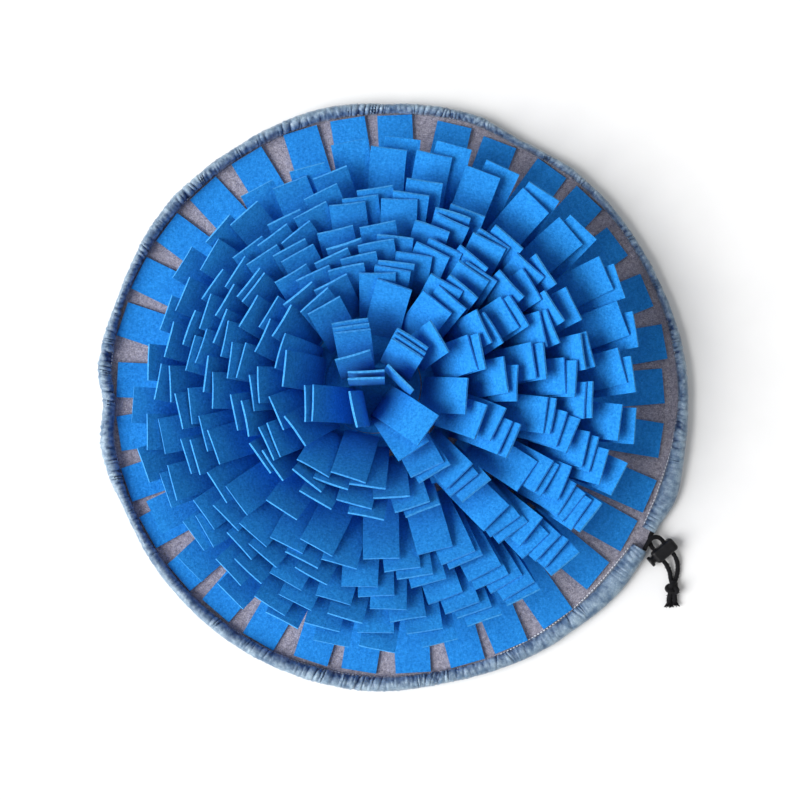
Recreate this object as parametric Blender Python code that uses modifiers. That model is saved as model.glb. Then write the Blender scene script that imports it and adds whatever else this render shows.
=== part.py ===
"""A round felt snuffle mat, as it lies on a table.

A grey felt base carries rings of slit felt band. Each band has two rows of strips, which stand
up and curl outwards over the row outside them, and a round backing in the middle carries the
last strips. A gathered cloth casing goes round the edge. Its drawcord comes out of both ends
of the casing, runs through a cord lock and is knotted.

Sizes are in metres, and in the tables in millimetres and degrees. +Z is up, +X and +Y lie
along the floor, and the origin is at the middle of the underside.
"""

import math
from collections import namedtuple

import bmesh
import bpy
from mathutils import Matrix, Vector
from mathutils.bvhtree import BVHTree

MM = 0.001
GAP = 0.3 * MM  # between pieces that touch

# Base and bands
BASE_THICKNESS = 3 * MM
BAND_THICKNESS = 2 * MM
BAND_MARGIN = 1.7 * MM  # felt left beyond the strips' roots
BAND_BOTTOM = BASE_THICKNESS + GAP
BAND_STEPS = 24
CENTRE_RADIUS = 38.3 * MM
CROWN = Vector((-24, 13, 0)) * MM  # the rings' middle drifts towards this point

# Strips
STRIP_WIDTH = 28.6 * MM
STRIP_LENGTH = 75 * MM
STRIP_THICKNESS = 1.8 * MM
STRIP_STRETCHES = 3  # straight stretches along a curled strip
STRIP_ROOT = BAND_BOTTOM + 1 * MM  # height at which a strip starts inside its band
STRIP_CLEAR = 0.4 * MM  # kept free on each side of a strip when the strips are laid
STRIP_CURL = math.radians(38)
UPRIGHT = math.radians(90)
RAISE_SHARE = 0.06  # of the way to upright, in each try to lay a strip clear of the others
MOST_RAISES = 50
FIRST_SIDE = 30  # degrees round the mat at which a row's first reach is given
STRIP_SKEW = math.radians(4)  # most that a strip points away from straight outwards

# One row for each row of strips, from the edge inwards: radius of the roots, number of strips,
# turn of the first one, and how far the strips reach outwards on six sides, at 30, 90, 150, 210,
# 270 and 330 degrees round the mat.
Row = namedtuple("Row", "radius count turn east north north_west west south south_east")
ROWS = (
    Row(158, 33, 1.5, 66, 74, 78, 72, 66, 62),
    Row(149, 30, 4.0, 55, 50, 41, 61, 48, 33),
    Row(140, 29, 5.0, 57, 54, 46, 56, 52, 37),
    Row(131, 26, 11.0, 24, 34, 28, 58, 60, 43),
    Row(122, 25, 11.5, 28, 36, 32, 52, 48, 48),
    Row(113, 22, 4.0, 29, 38, 33, 56, 48, 54),
    Row(104, 21, 5.0, 26, 28, 34, 54, 55, 50),
    Row(95, 19, 10.0, 28, 31, 36, 56, 58, 58),
    Row(86, 18, 10.0, 32, 35, 28, 30, 57, 60),
    Row(77, 15, 2.0, 26, 40, 30, 32, 22, 44),
    Row(68, 14, 3.0, 29, 45, 31, 31, 26, 50),
    Row(59, 11, 16.0, 27, 46, 32, 31, 31, 47),
    Row(50, 10, 16.0, 31, 38, 31, 34, 32, 49),
    Row(41, 8, 34.0, 28, 36, 29, 32, 34, 46),
)
ROWS_IN_A_RING = 2

# The strips of the middle: root, way it leans, how far, how much it curls, and its length.
Middle = namedtuple("Middle", "x y heading reach curl length")
MIDDLE = (
    Middle(-31, 32, 99, 26, 38, 74),
    Middle(-30.5, 28.5, 98, 27, 38, 74),
    Middle(-30, 25, 97, 28, 38, 73),
    Middle(-29.5, 19.2, 106, 12, 34, 72),
    Middle(5.5, 30, 57, 17, 40, 75),
    Middle(3.5, 26, 56, 17, 40, 75),
    Middle(1.5, 22, 57, 17, 40, 75),
    Middle(-22, 14.6, 92, 3, 14, 72),
    Middle(-22, 11, 92, 1, 14, 74),
    Middle(3.4, 11.2, 45, 2, 14, 73),
    Middle(-37.5, -7, 181, 33, 38, 76),
    Middle(-32.5, -8.2, 178, 32, 38, 76),
    Middle(-25, -10.8, 192, 8, 30, 75),
    Middle(-7, -10.8, -57, 42, 66, 80),
    Middle(-10, -3.5, -35, 46, 66, 90),
)

# Casing
CASING_START = -27.7  # degrees round the mat at which its two ends lie
CASING_END = 328.3
CASING_SECTIONS = 96
CASING_LAP = 3.2 * MM  # how far in from its outer edge the base ends
CASING_CLEAR = 1.8 * MM  # between it and the tips of the outermost strips

# The casing's outer edge, width and height, round the mat.
Rim = namedtuple("Rim", "angle outer width height")
RIM = (
    Rim(0, 239.5, 7.5, 12),
    Rim(30, 235.5, 4.8, 12),
    Rim(50, 236.5, 5, 13),
    Rim(63, 234, 4.6, 13),
    Rim(76, 240.5, 7, 14),
    Rim(90, 240, 7, 14),
    Rim(105, 243.5, 9.5, 15),
    Rim(122, 242, 8, 15),
    Rim(140, 243.5, 9, 15),
    Rim(160, 240, 5.6, 13),
    Rim(174, 243, 10, 14),
    Rim(181, 237.5, 9, 14),
    Rim(190, 242.5, 10.5, 15),
    Rim(204, 238, 6.5, 13),
    Rim(220, 239, 8, 13),
    Rim(240, 240, 10, 13),
    Rim(262, 240, 11, 12),
    Rim(281, 236, 9.5, 11),
    Rim(305, 239, 12.5, 9),
    Rim(320, 242.5, 16, 9),
    Rim(329, 241, 13, 11),
    Rim(333, 239.5, 11, 10),
    Rim(340, 244, 15, 10),
    Rim(351, 240.5, 10.5, 12),
)

# Cord lock: its own frame has x along the barrel, y towards the mat and z up.
LOCK_PLACE = Vector((217.6, -126.8, 0)) * MM
LOCK_TURN = math.radians(39.7)
LOCK_BACK = -8.0 * MM
LOCK_FRONT = 13.0 * MM
LOCK_WIDTH = 11 * MM
LOCK_HEIGHT = 11 * MM
LOCK_BEVEL = 2.4 * MM
HOLE_NORTH = -3.5 * MM  # places of the two cord holes along the barrel
HOLE_SOUTH = 6.5 * MM
HOLE_RADIUS = 2.2 * MM
BORE_RADIUS = 3.4 * MM
BORE_END = 12.0 * MM
BUTTON_TRAVEL = 1.8 * MM
STEM_RADIUS = 3.0 * MM
STEM_END = 9.8 * MM
HEAD_RADIUS = 4.6 * MM
HEAD_THICKNESS = 2.5 * MM
HEAD_CLEAR = 0.5 * MM  # between head and body when the button is pressed

# Drawcord: points of each strand in the lock's frame, in millimetres.
CORD_RADIUS = 1.8 * MM
CORD_SPACING = 2 * CORD_RADIUS
NORTH_STRAND = (
    (4.6, 17.6, 5.5),
    (1.6, 16.4, 5.4),
    (-1.6, 13.6, 5.3),
    (-3.3, 9.6, 5.4),
    (-3.5, 5.5, 5.5),
    (-3.5, 0, 5.5),
    (-3.5, -5.5, 5.5),
    (-3.5, -9, 4.8),
    (-4.0, -13, 3.2),
    (-5.6, -17.5, 2.2),
    (-8.0, -21.4, 2.1),
)
SOUTH_STRAND = (
    (-9.9, 11.2, 7.6),
    (-7, 12.6, 8.6),
    (-3, 14.3, 9.4),
    (1.5, 14.4, 9.5),
    (4.8, 12.6, 8.4),
    (6.3, 9.2, 6.6),
    (6.5, 5.5, 5.5),
    (6.5, 0, 5.5),
    (6.5, -5.5, 5.5),
    (6.2, -9.5, 4.7),
    (4.9, -14, 3.0),
    (2.2, -18.2, 2.2),
    (-1.6, -21.8, 2.1),
    (-5.4, -24.4, 2.1),
)
KNOT = Vector((-11.9, -27.7, 4.7)) * MM
KNOT_RADIUS = 6.4 * MM
KNOT_SQUASH = 0.7  # its height against its width
TAIL_RADIUS = 2.1 * MM
TAILS = (
    ((-12.5, -30, 4.0), (-15.8, -36.4, 2.6), (-18.0, -40.4, 2.4)),
    ((-13.5, -28, 4.0), (-20.6, -33.4, 2.6), (-23.4, -37.6, 2.4)),
)

FELT_BLUE = (0.015, 0.24, 0.72, 1)
FELT_GREY = (0.27, 0.24, 0.27, 1)
CASING_BLUE_GREY = (0.15, 0.23, 0.34, 1)
BLACK = (0.012, 0.012, 0.014, 1)


def clear_scene():
    for thing in list(bpy.data.objects):
        bpy.data.objects.remove(thing, do_unlink=True)


def collection(name):
    group = bpy.data.collections.new(name)
    bpy.context.scene.collection.children.link(group)
    return group


def material(name, colour, roughness):
    mat = bpy.data.materials.new(name)
    mat.use_nodes = True
    shader = mat.node_tree.nodes["Principled BSDF"]
    shader.inputs["Base Color"].default_value = colour
    shader.inputs["Roughness"].default_value = roughness
    shader.inputs["Metallic"].default_value = 0
    return mat


def mesh_object(name, points, faces, group):
    mesh = bpy.data.meshes.new(name)
    mesh.from_pydata([tuple(p) for p in points], [], faces)
    thing = bpy.data.objects.new(name, mesh)
    group.objects.link(thing)
    return thing


def bmesh_object(name, shape, group):
    mesh = bpy.data.meshes.new(name)
    shape.to_mesh(mesh)
    shape.free()
    thing = bpy.data.objects.new(name, mesh)
    group.objects.link(thing)
    return thing


def cylinder(name, radius, length, group, sides=16):
    """A cylinder along X, centred."""
    shape = bmesh.new()
    bmesh.ops.create_cone(
        shape, cap_ends=True, segments=sides, radius1=radius, radius2=radius, depth=length,
        matrix=Matrix.Rotation(math.pi / 2, 4, "Y"),
    )
    return bmesh_object(name, shape, group)


def box(name, size, centre, group):
    shape = bmesh.new()
    bmesh.ops.create_cube(shape, size=1, matrix=Matrix.Translation(centre) @ Matrix.Diagonal((*size, 1)))
    return bmesh_object(name, shape, group)


def combine(thing, other, operation):
    """A Boolean of one object with a guide, which is left out of the model itself."""
    other.hide_render = True
    other.display_type = "WIRE"
    modifier = thing.modifiers.new(operation.title(), "BOOLEAN")
    modifier.operation = operation
    modifier.object = other


def smooth(thing, angle=40):
    thing.data.shade_smooth()
    thing.data.set_sharp_from_angle(angle=math.radians(angle))


def wobble(*keys):
    """A repeatable number from -1 to 1 for these keys."""
    value = 43758.5453 * math.sin(sum(k * f for k, f in zip(keys, (12.9898, 78.233, 37.719))))
    return 2 * (value - math.floor(value)) - 1


def blend(table, angle):
    """A row of a table of places round the mat, read between its rows."""
    angle = angle % 360
    for i, row in enumerate(table):
        before = table[i - 1]
        start = before.angle if i else before.angle - 360
        if start <= angle < row.angle or (i == 0 and angle >= before.angle):
            where = angle if i or angle < row.angle else angle - 360
            share = (where - start) / (row.angle - start)
            share = share * share * (3 - 2 * share)
            return [a + (b - a) * share for a, b in zip(before, row)]
    raise ValueError(angle)


# ---------------------------------------------------------------- base and casing


def rim_point(angle, inwards, height):
    """A point this far in from the casing's outer edge."""
    radius = blend(RIM, angle)[1] * MM - inwards
    turn = math.radians(angle)
    return Vector((radius * math.cos(turn), radius * math.sin(turn), height))


def casing_angles():
    step = (CASING_END - CASING_START) / CASING_SECTIONS
    return [CASING_START + step * i for i in range(CASING_SECTIONS + 1)]


def make_base(group):
    curve = bpy.data.curves.new("base_mat", "CURVE")
    curve.dimensions = "2D"
    curve.fill_mode = "BOTH"
    curve.extrude = BASE_THICKNESS / 2
    spline = curve.splines.new("POLY")
    angles = [*casing_angles(), (CASING_START + 360 + CASING_END) / 2]
    spline.points.add(len(angles) - 1)
    for point, angle in zip(spline.points, angles):
        point.co = (*rim_point(angle, CASING_LAP, 0), 1)
    spline.use_cyclic_u = True
    base = bpy.data.objects.new("base_mat", curve)
    base.location.z = BASE_THICKNESS / 2
    group.objects.link(base)
    return base


def casing_inside(angle):
    """How far from the middle the casing's inner edge lies, in millimetres."""
    _, outer, width, _ = blend(RIM, angle)
    return outer - width


def casing_section(number, angle):
    """Outline of the casing across one gather, lapped over the edge of the base."""
    _, _, width, height = blend(RIM, angle)
    fold = 0.5 + 0.5 * wobble(number, 7)
    ridge = 1 if number % 2 else -1
    height = (height + ridge * (0.5 + 0.7 * fold)) * MM
    width = (width + 0.3 * ridge * fold) * MM
    bulge = 0.5 * ridge * fold * MM
    notch = CASING_LAP - GAP
    return [
        rim_point(angle, inwards, up)
        for inwards, up in (
            (0.14 * width - bulge, 0),
            (notch, 0),
            (notch, BAND_BOTTOM),
            (max(width, notch + 1.5 * MM), BAND_BOTTOM),
            (max(0.97 * width, notch + 1.2 * MM), 0.62 * height),
            (0.7 * width, 0.92 * height),
            (0.45 * width, height),
            (0.16 * width - bulge, 0.86 * height),
            (-bulge, 0.45 * height),
        )
    ]


def make_casing(group):
    points, faces = loft([casing_section(i, angle) for i, angle in enumerate(casing_angles())])
    casing = mesh_object("rim_casing", points, faces, group)
    smooth(casing, 50)
    return casing


# ---------------------------------------------------------------- felt strips


Strip = namedtuple("Strip", "root heading twist lift curl length stretches")


def lift_for(reach, curl, length):
    """Mean lift of a strip of this length and curl that reaches this far."""
    share = reach / length * (curl / 2) / math.sin(curl / 2)
    return math.acos(max(-1, min(1, share)))


def ring_middle(radius):
    return CROWN * (1 - radius / ROWS[0].radius)


def reach_at(row, angle):
    """How far a row's strips reach outwards at this angle, read between its six sides."""
    reaches = row[3:]
    before, share = divmod((angle - FIRST_SIDE) / (360 / len(reaches)) % len(reaches), 1)
    before = int(before)
    return reaches[before] * (1 - share) + reaches[(before + 1) % len(reaches)] * share


def row_strips(number):
    """The strips of one row, before they are laid."""
    row = ROWS[number]
    slack = math.tau * row.radius * MM / row.count - STRIP_WIDTH - 3 * STRIP_CLEAR
    for i in range(row.count):
        shift = max(0, slack) / (row.radius * MM) * 0.45 * wobble(number, i, 1)
        place = math.radians(row.turn) + math.tau * i / row.count + shift
        root = ring_middle(row.radius) + Vector((math.cos(place), math.sin(place), 0)) * row.radius * MM
        heading = place + STRIP_SKEW * wobble(number, i, 8)
        reach = reach_at(row, math.degrees(place))
        if number == 0:
            free = min(casing_inside(math.degrees(place) + turn) for turn in (-5, 0, 5)) - row.radius
            reach = min(reach + 3 * wobble(number, i, 2), free - CASING_CLEAR / MM)
            curl = 0
            twist = 0
            length = reach * MM
            lift = math.radians(0.8 + 0.5 * wobble(number, i, 4))
        else:
            reach = reach + 6 * wobble(number, i, 2)
            curl = STRIP_CURL * (1 + 0.35 * wobble(number, i, 5))
            twist = math.radians(9) * wobble(number, i, 3)
            length = STRIP_LENGTH * (1 + 0.03 * wobble(number, i, 6))
            lift = lift_for(reach * MM, curl, length)
        yield Strip(root, heading, twist, lift, curl, length, STRIP_STRETCHES if curl else 1)


def middle_strips():
    for place in MIDDLE:
        curl = math.radians(place.curl)
        length = place.length * MM
        root = Vector((place.x, place.y, 0)) * MM
        lift = lift_for(place.reach * MM, curl, length)
        yield Strip(root, math.radians(place.heading), 0, lift, curl, length, STRIP_STRETCHES)


def strip_sections(strip, extra=0.0):
    """The four corners of each cross-section of a strip, from root to tip."""
    fine = 8  # small steps in a straight stretch
    steps = strip.stretches * fine
    point = strip.root + Vector((0, 0, STRIP_ROOT))
    half_width = STRIP_WIDTH / 2 + extra
    half_thickness = STRIP_THICKNESS / 2 + extra
    sections = []
    for step in range(steps + 1):
        share = step / steps
        lift = strip.lift + strip.curl * (0.5 - share)
        turn = strip.heading + strip.twist * share
        along = Vector((math.cos(lift) * math.cos(turn), math.cos(lift) * math.sin(turn), math.sin(lift)))
        across = Vector((-math.sin(turn), math.cos(turn), 0))
        up = along.cross(across)
        if step % fine == 0:
            sections.append(
                [
                    point + across * half_width * side + up * half_thickness * face
                    for side, face in ((-1, -1), (1, -1), (1, 1), (-1, 1))
                ]
            )
        point = point + along * strip.length / steps
    return sections


def loft(sections):
    """Points and faces of a closed solid through cross-sections with equally many corners."""
    corners = len(sections[0])
    points = [corner for section in sections for corner in section]
    faces = [tuple(reversed(range(corners)))]
    for i in range(len(sections) - 1):
        for k in range(corners):
            a = corners * i + k
            b = corners * i + (k + 1) % corners
            faces.append((a, b, b + corners, a + corners))
    last = len(points) - corners
    faces.append(tuple(range(last, last + corners)))
    return points, faces


def lay(strip, trees):
    """The strip, stood up and straightened until it is clear of the strips laid before it."""
    rest = 1 - RAISE_SHARE
    for _ in range(MOST_RAISES):
        tree = BVHTree.FromPolygons(*loft(strip_sections(strip, STRIP_CLEAR)))
        if not any(tree.overlap(other) for other in trees):
            break
        lift = UPRIGHT + (strip.lift - UPRIGHT) * rest
        strip = strip._replace(lift=lift, curl=strip.curl * rest, twist=strip.twist * rest)
    trees.append(BVHTree.FromPolygons(*loft(strip_sections(strip))))
    return strip


def joined(name, strips, group):
    """One mesh of all these strips."""
    points, faces = [], []
    for strip in strips:
        more_points, more_faces = loft(strip_sections(strip))
        faces += [tuple(len(points) + k for k in face) for face in more_faces]
        points += more_points
    return mesh_object(name, points, faces, group)


def make_ring(name, outer_row, strips, group, guides):
    """A band with the strips of its two rows."""
    outer, inner = ROWS[outer_row], ROWS[outer_row + ROWS_IN_A_RING - 1]
    corner = math.hypot(outer.radius * MM, STRIP_WIDTH / 2)
    shape = bmesh.new()
    corners = [
        shape.verts.new((x, 0, z))
        for x, z in (
            (corner + BAND_MARGIN, BAND_BOTTOM + BAND_THICKNESS),
            (corner + BAND_MARGIN, BAND_BOTTOM),
            (inner.radius * MM - BAND_MARGIN, BAND_BOTTOM),
            (inner.radius * MM - BAND_MARGIN, BAND_BOTTOM + BAND_THICKNESS),
        )
    ]
    for i in range(len(corners)):
        shape.edges.new((corners[i], corners[(i + 1) % len(corners)]))
    band = bmesh_object(name, shape, group)
    band.location = (ring_middle(outer.radius) + ring_middle(inner.radius)) / 2
    screw = band.modifiers.new("Turn", "SCREW")
    screw.steps = screw.render_steps = BAND_STEPS
    screw.use_merge_vertices = True
    screw.merge_threshold = 0.01 * MM
    combine(band, joined(name + "_strips", strips, guides), "UNION")
    return band


def make_centre(strips, group, guides):
    shape = bmesh.new()
    bmesh.ops.create_cone(
        shape, cap_ends=True, segments=BAND_STEPS, radius1=CENTRE_RADIUS, radius2=CENTRE_RADIUS,
        depth=BAND_THICKNESS,
    )
    backing = bmesh_object("felt_centre", shape, group)
    backing.location = ring_middle(ROWS[-1].radius)
    backing.location.z = BAND_BOTTOM + BAND_THICKNESS / 2
    combine(backing, joined("felt_centre_strips", strips, guides), "UNION")
    return backing


def make_felt(group, guides):
    trees = []
    pieces = []
    for outer_row in range(0, len(ROWS), ROWS_IN_A_RING):
        strips = []
        for number in range(outer_row, outer_row + ROWS_IN_A_RING):
            strips += [lay(strip, trees) for strip in row_strips(number)]
        name = f"felt_ring_{outer_row // ROWS_IN_A_RING + 1}"
        pieces.append(make_ring(name, outer_row, strips, group, guides))
    pieces.append(make_centre([lay(strip, trees) for strip in middle_strips()], group, guides))
    return pieces


# ---------------------------------------------------------------- drawcord and lock


def curve_through(points, spacing):
    """Evenly spaced points of a smooth curve through these points."""
    points = [Vector(p) * MM for p in points]
    points = [2 * points[0] - points[1], *points, 2 * points[-1] - points[-2]]
    fine = []
    for a, b, c, d in zip(points, points[1:], points[2:], points[3:]):
        for step in range(12):
            t = step / 12
            squared = (2 * a - 5 * b + 4 * c - d) * t**2
            cubed = (3 * b - a - 3 * c + d) * t**3
            fine.append(0.5 * (2 * b + (c - a) * t + squared + cubed))
    fine.append(points[-2])
    length = sum((b - a).length for a, b in zip(fine, fine[1:]))
    count = round(length / spacing)
    evenly, walked, target = [fine[0]], 0, length / count
    for a, b in zip(fine, fine[1:]):
        step = (b - a).length
        while walked + step >= target and len(evenly) < count:
            evenly.append(a.lerp(b, (target - walked) / step))
            target += length / count
        walked += step
    evenly.append(fine[-1])
    return evenly


def make_tube(name, points, radius, group):
    curve = bpy.data.curves.new(name, "CURVE")
    curve.dimensions = "3D"
    curve.bevel_depth = radius
    curve.bevel_resolution = 2
    curve.use_fill_caps = True
    spline = curve.splines.new("POLY")
    spline.points.add(len(points) - 1)
    for point, place in zip(spline.points, points):
        point.co = (*place, 1)
    tube = bpy.data.objects.new(name, curve)
    group.objects.link(tube)
    return tube


def as_mesh(curve_object, group):
    """A mesh object with the shape of a curve object, which it replaces."""
    bpy.context.view_layer.update()
    evaluated = curve_object.evaluated_get(bpy.context.evaluated_depsgraph_get())
    mesh = bpy.data.meshes.new_from_object(evaluated)
    shape = bmesh.new()
    shape.from_mesh(mesh)
    bmesh.ops.remove_doubles(shape, verts=shape.verts, dist=0.001 * MM)
    shape.to_mesh(mesh)
    shape.free()
    thing = bpy.data.objects.new(curve_object.name, mesh)
    thing.matrix_world = curve_object.matrix_world
    group.objects.link(thing)
    bpy.data.objects.remove(curve_object)
    return thing


def make_knot(group, guides):
    shape = bmesh.new()
    bmesh.ops.create_uvsphere(shape, u_segments=14, v_segments=8, radius=KNOT_RADIUS)
    for vert in shape.verts:
        turn = math.atan2(vert.co.y, vert.co.x)
        vert.co *= 1 + 0.07 * math.sin(3 * turn + 5 * vert.co.z / KNOT_RADIUS)
        vert.co.z = max(vert.co.z * KNOT_SQUASH, GAP - KNOT.z)
    knot = bmesh_object("cord_knot", shape, group)
    knot.location = KNOT
    smooth(knot)
    for i, tail in enumerate(TAILS):
        line = curve_through(tail, CORD_SPACING)
        tube = make_tube(f"knot_tail_{i + 1}", line, TAIL_RADIUS, guides)
        combine(knot, as_mesh(tube, guides), "UNION")
    return knot


def make_lock_body(group, guides):
    length = LOCK_FRONT - LOCK_BACK
    middle = (LOCK_FRONT + LOCK_BACK) / 2
    body = box("cord_lock_body", (length, LOCK_WIDTH, LOCK_HEIGHT), (middle, 0, LOCK_HEIGHT / 2), group)
    bevel = body.modifiers.new("Round", "BEVEL")
    bevel.width = LOCK_BEVEL
    bevel.segments = 3
    bore_start = LOCK_BACK - 2 * MM
    bore = cylinder("bore", BORE_RADIUS, BORE_END - bore_start, guides)
    bore.location = ((BORE_END + bore_start) / 2, 0, LOCK_HEIGHT / 2)
    cutters = [bore]
    for name, place in (("hole_north", HOLE_NORTH), ("hole_south", HOLE_SOUTH)):
        hole = cylinder(name, HOLE_RADIUS, 2 * LOCK_WIDTH, guides)
        hole.rotation_euler.z = math.pi / 2
        hole.location = (place, 0, LOCK_HEIGHT / 2)
        cutters.append(hole)
    for cutter in cutters:
        combine(body, cutter, "DIFFERENCE")
    return body, cutters


def make_button(group, guides):
    """The button, with its origin on its axis where its head meets the stem."""
    root = LOCK_BACK - BUTTON_TRAVEL - HEAD_CLEAR
    button = cylinder("cord_lock_button", HEAD_RADIUS, HEAD_THICKNESS, group)
    button.data.transform(Matrix.Translation((-HEAD_THICKNESS / 2, 0, 0)))
    button.location = (root, 0, LOCK_HEIGHT / 2)
    bevel = button.modifiers.new("Round", "BEVEL")
    bevel.width = 0.6 * MM
    bevel.segments = 2
    bevel.limit_method = "ANGLE"
    stem = cylinder("stem", STEM_RADIUS, STEM_END - root + MM, guides)
    stem.location = ((STEM_END + root - MM) / 2, 0, LOCK_HEIGHT / 2)
    combine(button, stem, "UNION")
    guide_objects = [stem]
    for name, place in (("slot_north", HOLE_NORTH), ("slot_south", HOLE_SOUTH)):
        back = place - HOLE_RADIUS - BUTTON_TRAVEL
        front = place + HOLE_RADIUS
        size = (front - back, 4 * STEM_RADIUS, 2 * HOLE_RADIUS)
        slot = box(name, size, ((front + back) / 2, 0, LOCK_HEIGHT / 2), guides)
        combine(button, slot, "DIFFERENCE")
        guide_objects.append(slot)
    smooth(button)
    return button, guide_objects


def make_drawcord(group, guides):
    lock_frame = bpy.data.objects.new("lock_frame", None)
    lock_frame.location = LOCK_PLACE
    lock_frame.rotation_euler.z = LOCK_TURN
    group.objects.link(lock_frame)
    body, body_cutters = make_lock_body(group, guides)
    button, button_guides = make_button(group, guides)
    knot = make_knot(group, guides)
    strands = []
    for name, route in (("drawcord_north", NORTH_STRAND), ("drawcord_south", SOUTH_STRAND)):
        strands.append(make_tube(name, curve_through(route, CORD_SPACING), CORD_RADIUS, group))
    tails = [m.object for m in knot.modifiers]
    for thing in (body, button, knot, *strands, *body_cutters, *button_guides, *tails):
        thing.parent = lock_frame
    return body, button, knot, strands


def main():
    clear_scene()
    group = collection("snuffle_mat")
    guides = collection("guides")
    grey = material("grey_felt", FELT_GREY, 0.95)
    blue = material("blue_felt", FELT_BLUE, 0.9)
    casing_cloth = material("casing_cloth", CASING_BLUE_GREY, 0.55)
    cord_black = material("cord_black", BLACK, 0.85)
    plastic_black = material("plastic_black", BLACK, 0.35)
    make_base(group).data.materials.append(grey)
    make_casing(group).data.materials.append(casing_cloth)
    for piece in make_felt(group, guides):
        piece.data.materials.append(blue)
    body, button, knot, strands = make_drawcord(group, guides)
    for piece in (body, button):
        piece.data.materials.append(plastic_black)
    for piece in (knot, *strands):
        piece.data.materials.append(cord_black)


main()
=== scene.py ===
"""Looks of a round felt snuffle mat that lies on a pale floor, seen from above.

The felt strips are laid by the same rules as the solids, with fine curved surfaces. The casing
is a gathered cloth channel with a row of stitches, and the drawcord is braided.

Sizes are in metres, and in the tables in millimetres and degrees.
"""

import math
import random
from collections import namedtuple

import bpy
from mathutils import Matrix, Vector, noise
from mathutils.bvhtree import BVHTree


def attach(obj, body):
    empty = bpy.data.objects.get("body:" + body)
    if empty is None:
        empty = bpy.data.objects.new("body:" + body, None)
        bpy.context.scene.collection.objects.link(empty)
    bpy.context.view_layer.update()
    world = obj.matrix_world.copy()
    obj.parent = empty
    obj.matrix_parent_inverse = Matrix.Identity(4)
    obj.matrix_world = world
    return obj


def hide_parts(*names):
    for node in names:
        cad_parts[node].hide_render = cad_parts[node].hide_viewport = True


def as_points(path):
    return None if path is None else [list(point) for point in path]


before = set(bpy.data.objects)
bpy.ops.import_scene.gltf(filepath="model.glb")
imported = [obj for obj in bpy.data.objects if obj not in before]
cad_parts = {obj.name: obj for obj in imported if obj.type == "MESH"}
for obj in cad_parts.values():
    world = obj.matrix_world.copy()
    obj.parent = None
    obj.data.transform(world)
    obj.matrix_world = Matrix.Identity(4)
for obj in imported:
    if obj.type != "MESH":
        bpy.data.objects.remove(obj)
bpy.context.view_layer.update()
scene = bpy.context.scene

MM = 0.001
GAP = 0.3 * MM  # between pieces that touch

# ---------------------------------------------------------------- camera

PICTURE_SIZE = 800  # pixels, across and down
MAT_PIXEL = (394.5, 397)  # where the mat's middle lies in the picture
VIEW_DISTANCE = 1.45
VIEW_WIDTH = 0.6553  # of the floor, seen from side to side
VIEW_ELEVATION = math.radians(88)
SENSOR_WIDTH = 36  # millimetres

camera = bpy.data.objects.new("camera", bpy.data.cameras.new("camera"))
scene.collection.objects.link(camera)
camera.data.sensor_width = SENSOR_WIDTH
camera.data.lens = SENSOR_WIDTH * VIEW_DISTANCE / VIEW_WIDTH
camera.data.shift_x = (PICTURE_SIZE / 2 - MAT_PIXEL[0]) / PICTURE_SIZE
camera.data.shift_y = (MAT_PIXEL[1] - PICTURE_SIZE / 2) / PICTURE_SIZE
camera.location = (0, -VIEW_DISTANCE * math.cos(VIEW_ELEVATION), VIEW_DISTANCE * math.sin(VIEW_ELEVATION))
camera.rotation_euler = (math.pi / 2 - VIEW_ELEVATION, 0, 0)
scene.camera = camera

# ---------------------------------------------------------------- helpers

HASH_SCALE = 43758.5453
HASH_FACTORS = (12.9898, 78.233, 37.719)
CURVE_STEPS = 12  # from one given point of a curve to the next


def wobble(*keys):
    """A repeatable number from -1 to 1 for these keys."""
    value = HASH_SCALE * math.sin(sum(k * f for k, f in zip(keys, HASH_FACTORS)))
    return 2 * (value - math.floor(value)) - 1


def mesh_piece(name, points, faces, angle=40):
    """A shown mesh, shaded smooth but for edges sharper than this angle in degrees."""
    mesh = bpy.data.meshes.new(name)
    mesh.from_pydata([tuple(p) for p in points], [], faces)
    mesh.update()
    mesh.shade_smooth()
    mesh.set_sharp_from_angle(angle=math.radians(angle))
    piece = bpy.data.objects.new(name, mesh)
    scene.collection.objects.link(piece)
    return piece


def give(piece, slot, *materials):
    """These materials in the piece's own slots; the slot argument is not used."""
    for each in materials:
        piece.data.materials.append(each)


def curve_through(points, spacing):
    """Points about this far apart on a smooth curve through these, which are in millimetres."""
    points = [Vector(p) * MM for p in points]
    points = [2 * points[0] - points[1], *points, 2 * points[-1] - points[-2]]
    fine = []
    for a, b, c, d in zip(points, points[1:], points[2:], points[3:]):
        for step in range(CURVE_STEPS):
            t = step / CURVE_STEPS
            second = 2 * a - 5 * b + 4 * c - d
            third = 3 * b - a - 3 * c + d
            fine.append(0.5 * (2 * b + (c - a) * t + second * t**2 + third * t**3))
    fine.append(points[-2])
    length = sum((b - a).length for a, b in zip(fine, fine[1:]))
    count = round(length / spacing)
    evenly, walked, target = [fine[0]], 0, length / count
    for a, b in zip(fine, fine[1:]):
        step = (b - a).length
        while walked + step >= target and len(evenly) < count:
            evenly.append(a.lerp(b, (target - walked) / step))
            target += length / count
        walked += step
    evenly.append(fine[-1])
    return evenly


# ---------------------------------------------------------------- materials

PAINTED_SHADE_ATTRIBUTE = "painted_crease_shade"  # the casing mesh's record of how much painted shade its cloth gets, in its folds and towards its inner hem
# the colour that the casing's cloth is multiplied by where its painted shade is full
CREASE_SHADE = (0.09, 0.16, 0.31, 1)


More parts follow.
